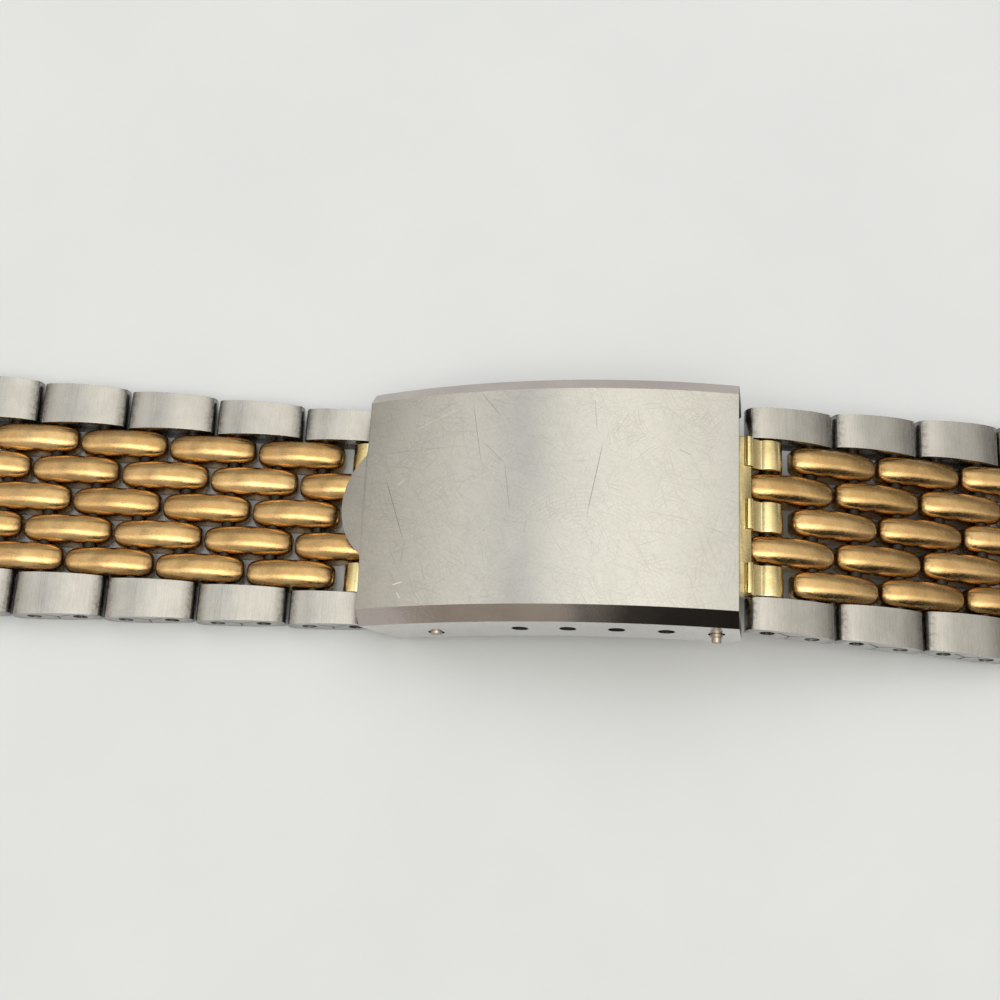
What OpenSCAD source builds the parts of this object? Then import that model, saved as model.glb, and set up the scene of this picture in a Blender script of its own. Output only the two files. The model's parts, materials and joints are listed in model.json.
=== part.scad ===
// Watch bracelet in the beads of rice pattern, with its folding clasp, millimetres.
// X runs along the bracelet, Y across it, Z up; the underside lies on Z = 0.
// The clasp's cover stands a few degrees off the folded blades, as a relaxed one does.

/* [Rows] */
// Distance between neighbouring row pins
pin_pitch = 3.3; // [3.2:0.05:3.8]
// Thickness of every link and bead at its middle
link_t = 2.4; // [2.3:0.05:2.8]
// Gap between two links that follow each other in one column
link_gap = 0.2; // [0.15:0.05:0.4]
// Radius of the crowned top and underside of a link, along the bracelet
crown_r = 9; // [7:0.5:14]
// Width of one rice bead
bead_w = 2.14; // [2:0.02:2.3]
// Gap between neighbouring columns
col_gap = 0.12; // [0.1:0.02:0.2]
// Radius of a bead's round back, seen along the bracelet
bead_r = 1.5; // [1.4:0.05:2]
// Radius of a bead's corners, seen from above
bead_corner_r = 0.8; // [0.4:0.05:1]
// Width of the bracelet at the clasp
width_clasp = 16; // [15.6:0.2:16.4]
// Width of the bracelet at the lugs
width_lug = 19; // [17:0.5:20]
// Sideways step of each piece of the left half against the one before, for it lies in a shallow curve
left_step = 0.075; // [0:0.005:0.08]
// The same step in the right half
right_step = 0.06; // [0:0.005:0.08]
// Number of steel rows in the left half
left_rows = 7; // [4:1:7]
// Number of steel rows in the right half
right_rows = 6; // [4:1:6]

/* [Row pins] */
// Radius of a row pin
pin_r = 0.5; // [0.4:0.02:0.6]
// Running clearance around a pin, on the radius
run_gap = 0.05; // [0.03:0.01:0.08]
// Clearance around a pin that stays fixed, on the radius
fixed_gap = 0.01; // [0.01:0.01:0.03]
// How far a fixed pin end lies under the link's side
pin_recess = 0.06; // [0.04:0.02:0.2]
// How far a removable pin end lies inside its hole
pin_sink = 0.7; // [0.4:0.1:1]
// Width of the seam left where a link's sheet is folded together
seam_w = 0.12; // [0.08:0.02:0.2]
// Depth of the seam in the link's side
seam_d = 0.35; // [0.2:0.05:0.6]
// Wall left between a pin's eye and the seam
seam_wall = 0.16; // [0.1:0.02:0.3]

/* [Clasp cover] */
// Length of the cover without its thumb lip
cover_l = 25.9; // [25:0.1:27]
// Width of the cover
cover_w = 17; // [16.8:0.1:17.4]
// Height of the cover, top face to the walls' lower edge
cover_h = 5.6; // [5.4:0.1:6]
// Radius of the arched top
cover_r = 43; // [38:1:55]
// Thickness of the top plate
plate_t = 0.8; // [0.6:0.05:0.9]
// Thickness of the side walls
wall_t = 0.9; // [0.8:0.05:0.95]
// Polished bevel along both long edges
bevel = 0.7; // [0.4:0.05:0.75]
// Reach of the thumb lip beyond the plate's end
lip_reach = 1.8; // [0.8:0.1:1.9]
// Radius of the thumb lip's round end
lip_r = 4.6; // [4:0.1:7]
// Radius of the adjusting holes
hole_r = 0.58; // [0.54:0.02:0.64]
// Distance between neighbouring adjusting holes
hole_pitch = 3.265; // [3.1:0.005:3.4]
// Place of the first adjusting hole, from the cover's middle
hole_x = -1.68; // [-2:0.02:-1.4]
// Depth of the adjusting holes under the top face
hole_depth = 3.24; // [3.1:0.02:3.5]
// Place of the cover's hinge, from the cover's middle
hinge_x = -7.86; // [-8.2:0.02:-7.6]
// Depth of the cover's hinge under the top face
hinge_depth = 4.08; // [4:0.02:4.3]
// Slope of the cover at rest
cover_tilt = 11; // [8:0.5:12]
// Reach of the corner cut at the left end of each wall, along the cover
corner_x = 1.9; // [1.6:0.1:2.4]
// Height of that corner cut
corner_z = 4.6; // [4:0.1:4.8]
// Radius of the walls' lower right corner
corner_r = 1; // [0.6:0.1:1.4]

/* [Blades] */
// Thickness of the blades' sheet
blade_t = 0.7; // [0.6:0.05:0.8]
// Width of the blades
blade_w = 10; // [9:0.2:10.4]
// Radius of the blades' bend along the bracelet
blade_bend = 110; // [90:5:160]
// Outer radius of the hinge eyes
eye_r = 1.15; // [1.1:0.01:1.18]
// Radius of the pins that join the blades and the left half
blade_pin_r = 0.55; // [0.5:0.01:0.6]
// Height of the cover's hinge above the ground
hinge_z = 3.97; // [3.8:0.01:4.1]
// Length of the lower blade between its two pins
lower_l = 19.6; // [19.4:0.1:19.8]
// Distance from the left pin of the lower blade to the cover's hinge
hinge_off = 1.8; // [1.7:0.1:2.0]
// Length of the middle eye, on the upper blade
eye_mid_l = 5.7; // [5:0.1:6]
// Gap beside each hinge eye
eye_gap = 0.15; // [0.1:0.01:0.2]
// Radius of the catch stud
stud_r = 0.8; // [0.6:0.05:0.85]
// Place of the catch stud, from the blades' hinge
stud_x = 10; // [9:0.5:11]
// Clearance around the catch stud, on the radius
stud_gap = 0.4; // [0.3:0.05:0.5]
// How far the stud stands out of the upper blade
stud_out = 0.25; // [0.1:0.05:0.4]

/* [End pieces] */
// Distance between the two axes of an end piece
end_l = 4.15; // [4:0.05:4.3]
// Slope of the right end piece at rest
end_tilt = 27; // [25:0.5:29]
// Radius of an end piece's eye on the row pin
end_eye_r = 1.12; // [1.05:0.01:1.15]
// Thickness of an end piece between its eyes
end_t = 1.3; // [1:0.1:1.6]
// Radius of the roll across each arm
roll_r = 0.34; // [0.3:0.02:0.4]
// Distance from the row pin to the middle of that roll
roll_off = 2.0; // [1.8:0.1:2.1]
// Space left between a pin's neighbours and an end piece's web
web_gap = 0.2; // [0.15:0.05:0.3]
// Number of rows of the right half that slope down to the ground
slope_rows = 6; // [5:1:8]

/* [Spring bars] */
// Radius of the clasp's spring bars
bar_r = 0.75; // [0.7:0.01:0.78]
// Wall of the tube around the clasp's spring bar
bar_wall = 0.3; // [0.25:0.01:0.32]
// Radius of a spring bar's sliding stem
stem_r = 0.42; // [0.38:0.01:0.44]
// Radius of a stem's end
tip_r = 0.33; // [0.28:0.01:0.35]
// How far a stem stands out of the cover's wall
tip_out = 0.6; // [0.4:0.05:0.8]
// How much of that is the thin end
tip_l = 0.35; // [0.2:0.05:0.38]
// Travel of a stem
tip_travel = 1.5; // [1.4:0.05:1.6]
// Length of a stem inside its tube
stem_in = 1.9; // [1.7:0.1:2.1]
// Radius of the lug spring bars
lug_bar_r = 0.9; // [0.85:0.01:0.95]
// Radius of the lug spring bars' stems
lug_stem_r = 0.6; // [0.56:0.01:0.64]
// Radius of the lug spring bars' ends, which enter the case
lug_tip_r = 0.4; // [0.35:0.01:0.45]
// Length of the lug spring bars' ends
lug_tip_l = 0.8; // [0.6:0.1:1]
// How far the lug spring bars' shoulders stand out of the link
shoulder_out = 0.3; // [0.2:0.05:0.4]
// Distance from the last row pin to the lug spring bar
lug_l = 3.5; // [3.4:0.1:4]
// Outer radius of the tube around the lug spring bar
lug_eye_r = 1.2; // [1.15:0.01:1.2]

/* [Hidden] */
$fn = 64;
EPS = 0.5;
half_l = pin_pitch - link_gap / 2;
rest_z = link_t / 2;
core = (5 * bead_w + 4 * col_gap) / 2;
side_in = core + col_gap;
col_step = bead_w + col_gap;
hinge_drop = hinge_depth + cover_r - sqrt(cover_r * cover_r - hinge_x * hinge_x);
wall_in = cover_w / 2 - wall_t;
eye_run = link_gap;

function arch(x) = sqrt(cover_r * cover_r - x * x) - cover_r;
bar_cx = hole_x + 4 * hole_pitch;
// Places measured from the left pin of the lower blade, then shifted to centre the bracelet
bar_rel = [hinge_off + (bar_cx - hinge_x) * cos(cover_tilt)
    - (arch(bar_cx) - hole_depth + hinge_drop) * sin(cover_tilt),
    hinge_z + (bar_cx - hinge_x) * sin(cover_tilt)
    + (arch(bar_cx) - hole_depth + hinge_drop) * cos(cover_tilt)];
right_rel = bar_rel + end_l * [cos(end_tilt), -sin(end_tilt)];
row_tilt = asin((right_rel.y - rest_z) / (slope_rows * pin_pitch));
right_len = slope_rows * pin_pitch * cos(row_tilt) + (2 * right_rows - slope_rows) * pin_pitch;
left_len = 2 * left_rows * pin_pitch;
span_l = end_l + left_len + lug_l + lug_eye_r;
span_r = right_rel.x + right_len + lug_l + lug_eye_r;
blade_x0 = (span_l - span_r) / 2;
blade_x1 = blade_x0 + lower_l;
bar_at = bar_rel + [blade_x0, 0];
left_pin0 = [blade_x0 - end_l, rest_z];
right_pin0 = right_rel + [blade_x0, 0];
// Middle of the clasp across the bracelet, which centres the two lug ends on Y = 0
clasp_y = -((left_rows + 1) * left_step + (right_rows + 1) * right_step);

// Row pin i of each half, counted from the clasp
function left_pin(i) = left_pin0 - [i * pin_pitch, 0];
function right_pin(i) = right_pin0
    + min(i, slope_rows) * pin_pitch * [cos(row_tilt), -sin(row_tilt)]
    + max(i - slope_rows, 0) * [pin_pitch, 0];
// Middle across the bracelet of link i of each half, where the end piece is link -1
function left_y(i) = clasp_y + (i + 2) * left_step;
function right_y(i) = clasp_y + (i + 2) * right_step;
// Half width of the bracelet at a distance from the first row pin
function half_w(s, len) = (width_clasp + (width_lug - width_clasp) * max(0, min(1, s / len))) / 2;

// At a point of the XZ plane, turned about Y and moved across the bracelet
module at_xz(p, tilt = 0, y = 0) translate([p.x, y, p.y]) rotate([0, tilt, 0]) children();
module along_y(l) rotate([90, 0, 0]) translate([0, 0, -l / 2]) linear_extrude(l) children();
module rod(r, y0, y1) translate([0, y1, 0]) rotate([90, 0, 0]) cylinder(r = r, h = y1 - y0);
module rod_pair(r, y0, y1) { rod(r, y0, y1); rod(r, -y1, -y0); }

// The side view shared by links and beads: crowned above and below, round at both ends
module link_side() {
    round_r = link_t / 2;
    intersection() {
        union() {
            square([2 * (half_l - round_r), link_t], center = true);
            for (s = [-1, 1]) translate([s * (half_l - round_r), 0]) circle(round_r);
        }
        translate([0, round_r - crown_r]) circle(crown_r, $fn = 128);
        translate([0, crown_r - round_r]) circle(crown_r, $fn = 128);
    }
}

// One rice bead with its two bores, centred in its column
module bead() {
    lean = bead_r - link_t / 2;
    difference() {
        intersection() {
            along_y(bead_w) link_side();
            translate([0, 0, -link_t]) linear_extrude(2 * link_t) {
                square([2 * half_l, bead_w - 2 * bead_corner_r], center = true);
                square([2 * (half_l - bead_corner_r), bead_w], center = true);
                for (x = [-1, 1], y = [-1, 1])
                    translate([x * (half_l - bead_corner_r), y * (bead_w / 2 - bead_corner_r)])
                        circle(bead_corner_r);
            }
            for (s = [-1, 1]) translate([0, 0, -s * lean]) rotate([0, 90, 0]) barrel();
        }
        for (s = [-1, 1]) translate([s * pin_pitch / 2, 0, 0]) rod(pin_r + run_gap, -bead_w, bead_w);
    }
}

// A barrel about Z with a gently curved side
module barrel() rotate_extrude($fn = 96) intersection() {
    translate([bead_r - crown_r, 0]) circle(crown_r, $fn = 128);
    translate([0, -half_l - EPS]) square([2 * bead_r, 2 * half_l + 2 * EPS]);
}

// Half of the plan of an outer link, tapered with the bracelet; dir points away from the clasp
module side_plan(s, len, dir) {
    x = half_l + EPS;
    polygon([[-x, side_in], [x, side_in], [x, half_w(s + dir * x, len)], [-x, half_w(s - dir * x, len)]]);
}

// The folded seam of an outer link: two slits from the eyes, and one down to the underside
module seam() {
    x0 = pin_pitch / 2 - pin_r - seam_wall;
    for (m = [-1, 1])
        polygon([[0, -seam_w], [m * x0, link_t / 4 - seam_w], [m * x0, link_t / 4], [0, 0]]);
    translate([-seam_w / 2, -link_t]) square([seam_w, link_t]);
}

// The two outer links of a row and its two pins; s is the row's distance from the first pin
module steel_row(s, len, dir) {
    near = -dir * pin_pitch / 2;
    far = dir * pin_pitch / 2;
    for (m = [0, 1]) mirror([0, m, 0]) difference() {
        intersection() {
            along_y(2 * width_lug) link_side();
            translate([0, 0, -link_t]) linear_extrude(2 * link_t) side_plan(s, len, dir);
        }
        for (x = [near, far]) translate([x, 0, 0]) rod(pin_r + fixed_gap, 0, width_lug);
        for (y = [half_w(s, len), side_in + seam_d / 2])
            translate([0, y, 0]) along_y(seam_d) seam();
    }
    y_near = half_w(s - pin_pitch / 2, len) - pin_sink;
    y_far = half_w(s + pin_pitch / 2, len) - pin_recess;
    translate([near, 0, 0]) rod(pin_r, -y_near, y_near);
    translate([far, 0, 0]) rod(pin_r, -y_far, y_far);
}

module left_row(i) at_xz((left_pin(i) + left_pin(i + 1)) / 2, 0, left_y(i)) children();
module right_row(i) at_xz((right_pin(i) + right_pin(i + 1)) / 2, i < slope_rows ? row_tilt : 0, right_y(i))
    children();

module left_steel(k) color("silver") left_row(2 * k) steel_row((2 * k + 0.5) * pin_pitch, left_len, -1);
module right_steel(k) color("silver") right_row(2 * k) steel_row((2 * k + 0.5) * pin_pitch, right_len, 1);
module gold_pair() for (c = [-1, 1]) translate([0, c * col_step, 0]) bead();
module bead_trio() for (c = [-2, 0, 2]) translate([0, c * col_step, 0]) bead();
module left_gold(k) color("goldenrod") left_row(2 * k) gold_pair();
module right_gold(k) color("goldenrod") right_row(2 * k) gold_pair();
module left_bead(k) color("goldenrod") left_row(2 * k + 1) bead_trio();
module right_bead(k) color("goldenrod") right_row(2 * k + 1) bead_trio();

// Arms of an end piece, from the origin's axis to the row pin's at x = end_l
module end_arms(inner_r) {
    for (c = [-2, 0, 2]) translate([0, c * col_step, 0]) {
        rod(inner_r, -bead_w / 2, bead_w / 2);
        translate([end_l, 0, 0]) rod(end_eye_r, -bead_w / 2, bead_w / 2);
        translate([end_l - roll_off, 0, end_t / 2]) rod(roll_r, -bead_w / 2, bead_w / 2);
        translate([0, -bead_w / 2, -end_t / 2]) cube([end_l, bead_w, end_t]);
    }
    web_x0 = inner_r + web_gap;
    web_x1 = end_l - (half_l - pin_pitch / 2) - web_gap;
    translate([web_x0, -core, -end_t / 2]) cube([web_x1 - web_x0, 2 * core, end_t]);
}

module left_end_piece() color("gold") at_xz([blade_x0, rest_z], 180, left_y(-1)) difference() {
    end_arms(eye_r);
    rod(blade_pin_r + run_gap, -cover_w, cover_w);
    translate([end_l, 0, 0]) rod(pin_r + run_gap, -cover_w, cover_w);
}

module right_end_piece() color("gold") at_xz(bar_at, end_tilt, right_y(-1)) difference() {
    union() {
        end_arms(bar_r + run_gap + bar_wall);
        rod(bar_r + run_gap + bar_wall, -wall_in + eye_run, wall_in - eye_run);
    }
    rod(bar_r + run_gap, -cover_w, cover_w);
    translate([end_l, 0, 0]) rod(pin_r + run_gap, -cover_w, cover_w);
}

// Blades
module lower_blade() color("silver") translate([0, clasp_y, 0]) {
    dz = sqrt(blade_bend * blade_bend - lower_l * lower_l / 4);
    lift = rest_z - eye_r + 0.05;
    difference() {
        union() {
            translate([blade_x0, 0, 0]) intersection() {
                translate([lower_l / 2, 0, lift - dz]) difference() {
                    rod(blade_bend + blade_t, -blade_w / 2, blade_w / 2, $fn = 360);
                    rod(blade_bend, -blade_w, blade_w, $fn = 360);
                }
                translate([eye_r + web_gap, -blade_w, 0])
                    cube([lower_l - eye_r - web_gap, 2 * blade_w, 2 * rest_z]);
            }
            for (c = [-1, 1]) translate([blade_x0, c * col_step, 0]) {
                at_xz([0, rest_z]) rod(eye_r, -bead_w / 2, bead_w / 2);
                translate([0, -bead_w / 2, lift]) cube([eye_r + web_gap + EPS, bead_w, blade_t]);
            }
            at_xz([blade_x1, rest_z]) rod_pair(eye_r, eye_mid_l / 2 + eye_gap, blade_w / 2);
            at_xz([blade_x1 - stud_x, rest_z]) cylinder(r = stud_r, h = stud_top - rest_z);
        }
        at_xz([blade_x0, rest_z]) rod(blade_pin_r + fixed_gap, -cover_w, cover_w);
        at_xz([blade_x1, rest_z]) {
            rod(blade_pin_r + fixed_gap, -cover_w, cover_w);
            rod(eye_r + web_gap, -eye_mid_l / 2 - eye_gap, eye_mid_l / 2 + eye_gap);
        }
    }
}

upper_run = lower_l - hinge_off;
upper_rise = hinge_z - rest_z;
upper_l = norm([upper_run, upper_rise]);
upper_tilt = atan2(upper_rise, upper_run);
upper_dz = sqrt(blade_bend * blade_bend - upper_l * upper_l / 4);
stud_top = rest_z + stud_x * tan(upper_tilt) + blade_bend - upper_dz + blade_t / 2 + stud_out;

// The upper blade in a frame that starts at the blades' hinge and runs to the cover's
module upper_blade() color("silver") translate([blade_x1, clasp_y, rest_z]) rotate([0, upper_tilt, 0])
    mirror([1, 0, 0]) difference() {
        union() {
            intersection() {
                translate([upper_l / 2, 0, -upper_dz]) difference() {
                    rod(blade_bend + blade_t / 2, -blade_w / 2, blade_w / 2, $fn = 360);
                    rod(blade_bend - blade_t / 2, -blade_w, blade_w, $fn = 360);
                }
                translate([0, -blade_w, -blade_w]) cube([upper_l, 2 * blade_w, 2 * blade_w]);
            }
            rod(eye_r, -eye_mid_l / 2, eye_mid_l / 2);
            translate([upper_l, 0, 0]) rod(eye_r, -blade_w / 2, blade_w / 2);
        }
        for (m = [0, 1]) mirror([0, m, 0]) rod(eye_r + web_gap, eye_mid_l / 2, blade_w);
        rod(blade_pin_r + run_gap, -blade_w, blade_w);
        translate([upper_l, 0, 0]) rod(bar_r + run_gap, -blade_w, blade_w);
        translate([stud_x / cos(upper_tilt), 0, -blade_w]) cylinder(r = stud_r + stud_gap, h = 2 * blade_w);
    }

module blade_pin() color("gray") at_xz([blade_x1, rest_z], 0, clasp_y)
    rod(blade_pin_r, -blade_w / 2, blade_w / 2);
module end_pin() color("gray") at_xz([blade_x0, rest_z], 0, clasp_y) rod(blade_pin_r, -core, core);

// Cover, drawn with its origin at the top of the arch
module in_cover() translate([blade_x0 + hinge_off, clasp_y, hinge_z]) rotate([0, -cover_tilt, 0])
    translate([-hinge_x, 0, hinge_drop]) children();
module cover_ring() rotate([90, 0, 0]) rotate_extrude($fn = 360) for (m = [0, 1]) mirror([0, m])
    polygon([[cover_r - plate_t, 0], [cover_r, 0], [cover_r, cover_w / 2 - bevel],
        [cover_r - bevel, cover_w / 2], [cover_r - cover_h, cover_w / 2],
        [cover_r - cover_h, wall_in], [cover_r - plate_t, wall_in]]);
module cover_blank() intersection() {
    translate([0, 0, -cover_r]) cover_ring();
    translate([-cover_l / 2, -cover_w, -cover_r / 2]) cube([cover_l, 2 * cover_w, cover_r]);
}

// The thumb lip: a round tongue of the plate
module lip() intersection() {
    translate([0, 0, -cover_r]) rotate([90, 0, 0]) rotate_extrude($fn = 360)
        translate([cover_r - plate_t, -lip_r]) square([plate_t, 2 * lip_r]);
    translate([0, 0, -cover_r / 2]) linear_extrude(cover_r) intersection() {
        translate([-cover_l / 2 - lip_reach, -lip_r]) square([lip_reach + EPS, 2 * lip_r]);
        translate([-cover_l / 2 + lip_r - lip_reach, 0]) circle(lip_r);
    }
}

module cover() color("lightgray") in_cover() difference() {
    x = cover_l / 2;
    z_low = arch(x) - cover_h;
    union() {
        cover_blank();
        lip();
    }
    for (i = [0:4]) at_xz([hole_x + i * hole_pitch, arch(hole_x + i * hole_pitch) - hole_depth])
        rod(hole_r, -cover_w, cover_w);
    at_xz([hinge_x, -hinge_drop]) rod(hole_r, -cover_w, cover_w);
    along_y(2 * cover_w) polygon([[-x - EPS, z_low + corner_z], [-x, z_low + corner_z],
        [-x + corner_x, z_low - EPS], [-x - EPS, z_low - EPS]]);
    along_y(2 * cover_w) translate([x - corner_r, z_low + corner_r]) difference() {
        translate([0, -2 * corner_r]) square(2 * corner_r);
        circle(corner_r);
    }
}

module cover_pin() color("gray") in_cover() at_xz([hinge_x, -hinge_drop]) {
    rod(bar_r, -wall_in + eye_gap, wall_in - eye_gap);
    rod_pair(stem_r, wall_in - eye_gap - EPS, cover_w / 2 + eye_gap);
}

// Spring bars: a tube closed in its middle, and a sliding stem in each end
module bar_tube(r, bore_r, y_end, y_floor) difference() {
    rod(r, -y_end, y_end);
    rod_pair(bore_r, y_floor, y_end + EPS);
}
module stem(r, y_in, y_shoulder, r_end, y_out) {
    rod(r, y_in, y_shoulder);
    rod(r_end, y_shoulder - EPS, y_out);
}

clasp_end = wall_in - eye_gap;
clasp_in = clasp_end - stem_in;
module clasp_bar() color("gray") at_xz(bar_at, 0, clasp_y)
    bar_tube(bar_r, stem_r + run_gap, clasp_end, clasp_in - tip_travel - eye_gap);
module clasp_stem(side) at_xz(bar_at, 0, clasp_y) mirror([0, side, 0])
    stem(stem_r, clasp_in, cover_w / 2 + tip_out - tip_l, tip_r, cover_w / 2 + tip_out);
module clasp_tip_far() color("gray") clasp_stem(0);
module clasp_tip_near() color("gray") clasp_stem(1);

// Lug ends: the last link carries the tube of the spring bar that enters the case
lug_half = width_lug / 2 - col_gap;
lug_in = lug_half - stem_in;
module lug_link() {
    side_w = lug_half - side_in;
    difference() {
        union() {
            translate([lug_l, 0, 0]) rod(lug_eye_r, -lug_half, lug_half);
            for (m = [0, 1]) mirror([0, m, 0]) {
                translate([0, side_in, 0]) {
                    rod(rest_z, 0, side_w);
                    translate([0, 0, -rest_z]) cube([lug_l, side_w, link_t]);
                }
                translate([0, col_step - bead_w / 2, 0]) {
                    rod(rest_z, 0, bead_w);
                    translate([0, 0, -rest_z]) cube([lug_l, bead_w, link_t]);
                }
            }
        }
        rod(pin_r + fixed_gap, -width_lug, width_lug);
        translate([lug_l, 0, 0]) rod(lug_bar_r + run_gap, -width_lug, width_lug);
    }
    rod(pin_r, -lug_half + pin_recess, lug_half - pin_recess);
}
module at_left_lug(d = 0) at_xz(left_pin(2 * left_rows) - [d, 0], 180, left_y(2 * left_rows)) children();
module at_right_lug(d = 0) at_xz(right_pin(2 * right_rows) + [d, 0], 0, right_y(2 * right_rows)) children();
module left_lug_link() color("silver") at_left_lug() lug_link();
module right_lug_link() color("silver") at_right_lug() lug_link();
module lug_bar() bar_tube(lug_bar_r, lug_stem_r + run_gap, lug_half, lug_in - tip_travel - eye_gap);
module lug_stem() stem(lug_stem_r, lug_in, lug_half + shoulder_out, lug_tip_r,
    lug_half + shoulder_out + lug_tip_l);
module left_lug_bar() color("gray") at_left_lug(lug_l) lug_bar();
module right_lug_bar() color("gray") at_right_lug(lug_l) lug_bar();
module left_lug_tip_far() color("gray") at_left_lug(lug_l) lug_stem();
module left_lug_tip_near() color("gray") at_left_lug(lug_l) mirror([0, 1, 0]) lug_stem();
module right_lug_tip_far() color("gray") at_right_lug(lug_l) lug_stem();
module right_lug_tip_near() color("gray") at_right_lug(lug_l) mirror([0, 1, 0]) lug_stem();

cover();
cover_pin();
upper_blade();
blade_pin();
lower_blade();
end_pin();
clasp_bar();
clasp_tip_near();
clasp_tip_far();
left_end_piece();
right_end_piece();
for (k = [0:left_rows - 1]) {
    left_steel(k);
    left_gold(k);
    left_bead(k);
}
for (k = [0:right_rows - 1]) {
    right_steel(k);
    right_gold(k);
    right_bead(k);
}
left_lug_link();
left_lug_bar();
left_lug_tip_near();
left_lug_tip_far();
right_lug_link();
right_lug_bar();
right_lug_tip_near();
right_lug_tip_far();
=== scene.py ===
# %% [markdown]
# This notebook dresses a two-tone watch bracelet in the beads of rice pattern. The imported CAD model
# gives every link, pin and blade its true size and place, and Blender adds what CAD leaves out:
# soft edges, worn metal and light. The first cell loads the model.

# %% Load the model
import json
import math
import random

import bpy
from mathutils import Matrix, Vector

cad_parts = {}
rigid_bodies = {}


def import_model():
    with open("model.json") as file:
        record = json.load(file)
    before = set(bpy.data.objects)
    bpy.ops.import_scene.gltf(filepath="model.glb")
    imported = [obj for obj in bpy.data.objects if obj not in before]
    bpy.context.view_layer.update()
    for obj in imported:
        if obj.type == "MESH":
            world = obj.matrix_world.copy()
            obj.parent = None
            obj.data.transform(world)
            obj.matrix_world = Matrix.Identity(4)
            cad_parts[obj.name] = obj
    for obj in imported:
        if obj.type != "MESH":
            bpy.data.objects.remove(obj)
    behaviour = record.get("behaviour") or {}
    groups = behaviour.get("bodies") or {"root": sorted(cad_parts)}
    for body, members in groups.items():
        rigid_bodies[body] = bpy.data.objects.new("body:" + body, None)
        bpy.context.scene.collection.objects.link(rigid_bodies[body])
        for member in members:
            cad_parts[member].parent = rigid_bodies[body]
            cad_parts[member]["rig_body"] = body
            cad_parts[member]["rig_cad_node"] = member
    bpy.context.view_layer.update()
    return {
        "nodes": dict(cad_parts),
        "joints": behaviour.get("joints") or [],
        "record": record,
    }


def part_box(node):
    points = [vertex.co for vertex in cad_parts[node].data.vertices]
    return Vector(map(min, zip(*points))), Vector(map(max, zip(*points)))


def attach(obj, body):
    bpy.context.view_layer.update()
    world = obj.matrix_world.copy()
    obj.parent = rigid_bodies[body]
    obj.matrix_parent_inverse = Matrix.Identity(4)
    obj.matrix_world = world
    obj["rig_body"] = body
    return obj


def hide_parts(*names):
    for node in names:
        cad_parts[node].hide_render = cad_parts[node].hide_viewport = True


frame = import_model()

# %% [markdown]
# The photograph was taken from almost straight above, leaning 17 degrees towards the near edge and
# turned a little. A camera can be placed by eye, but then each later comparison is a guess. Here
# its angles, distance and lens were solved from points seen in the photograph, so the render and
# the photograph can be laid over each other.

# %% Camera
TARGET = Vector((-0.00082, 0.00054, 0.003))
AZIMUTH, ELEVATION, ROLL = 3.64, 73.37, -0.91
DISTANCE, LENS = 0.10107, 50.48


def camera_axes(*degrees):
    """Right, up and back of a camera that looks from this azimuth and elevation, and is rolled."""
    a, e, r = (math.radians(v) for v in degrees)
    back = Vector((math.sin(a) * math.cos(e), -math.cos(a) * math.cos(e), math.sin(e)))
    right = (-back).cross(Vector((0, 0, 1))).normalized()
    up = right.cross(-back)
    return math.cos(r) * right + math.sin(r) * up, math.cos(r) * up - math.sin(r) * right, back


axes = camera_axes(AZIMUTH, ELEVATION, ROLL)
bpy.ops.object.camera_add()
camera = bpy.context.object
camera.name = "camera"
camera.matrix_world = (Matrix.Translation(TARGET + axes[2] * DISTANCE)
                       @ Matrix(axes).transposed().to_4x4())
camera.data.lens = LENS
camera.data.sensor_width = 36
camera.data.clip_start, camera.data.clip_end = 0.002, 20
bpy.context.scene.camera = camera
print("camera at", [round(v * 1000, 1) for v in camera.location], "mm")

# %% [markdown]
# Everything here is a few millimetres across, while Blender's merge and bevel limits suit things of
# a metre. So each piece is modelled with 1 unit as 1 mm, and is shrunk to metres when it is put in
# place. The helpers below keep the work as it is by hand: deselect, select by place, use one
# operator.

# %% Selecting
def deselect():
    """Back to object mode with nothing selected."""
    if bpy.context.mode != "OBJECT":
        bpy.ops.object.mode_set(mode="OBJECT")
    bpy.ops.object.select_all(action="DESELECT")


def choose(piece, *others):
    """Selects only these objects, with the first one active."""
    deselect()
    for obj in (piece, *others):
        obj.select_set(True)
    bpy.context.view_layer.objects.active = piece


def edit(piece, kind, test):
    """Opens a piece in edit mode, with the vertices, edges or faces selected that pass the test.

    The test gets a vertex's place, the places of an edge's two ends, or a face's middle and normal.
    """
    choose(piece)
    mesh = piece.data
    for items in (mesh.vertices, mesh.edges, mesh.polygons):
        items.foreach_set("select", [False] * len(items))
    if kind == "VERT":
        for v in mesh.vertices:
            v.select = bool(test(v.co))
    elif kind == "EDGE":
        for e in mesh.edges:
            a, b = (mesh.vertices[i] for i in e.vertices)
            if test(a.co, b.co):
                e.select = a.select = b.select = True
    else:
        for f in mesh.polygons:
            if test(f.center, f.normal):
                f.select = True
                for i in f.vertices:
                    mesh.vertices[i].select = True
    bpy.context.tool_settings.mesh_select_mode = (kind == "VERT", kind == "EDGE", kind == "FACE")
    bpy.ops.object.mode_set(mode="EDIT")


def all_of(*_):
    return True


print("selecting by place is ready")

# %% Modelling helpers
def clean(piece, merge=0.002, flat=0.0):
    """Merges doubles, joins faces that lie flat within an angle, and turns faces outwards."""
    edit(piece, "VERT", all_of)
    bpy.ops.mesh.remove_doubles(threshold=merge)
    if flat:
        bpy.ops.mesh.dissolve_limited(angle_limit=math.radians(flat))
    bpy.ops.mesh.select_all(action="SELECT")
    bpy.ops.mesh.normals_make_consistent(inside=False)
    deselect()


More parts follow.
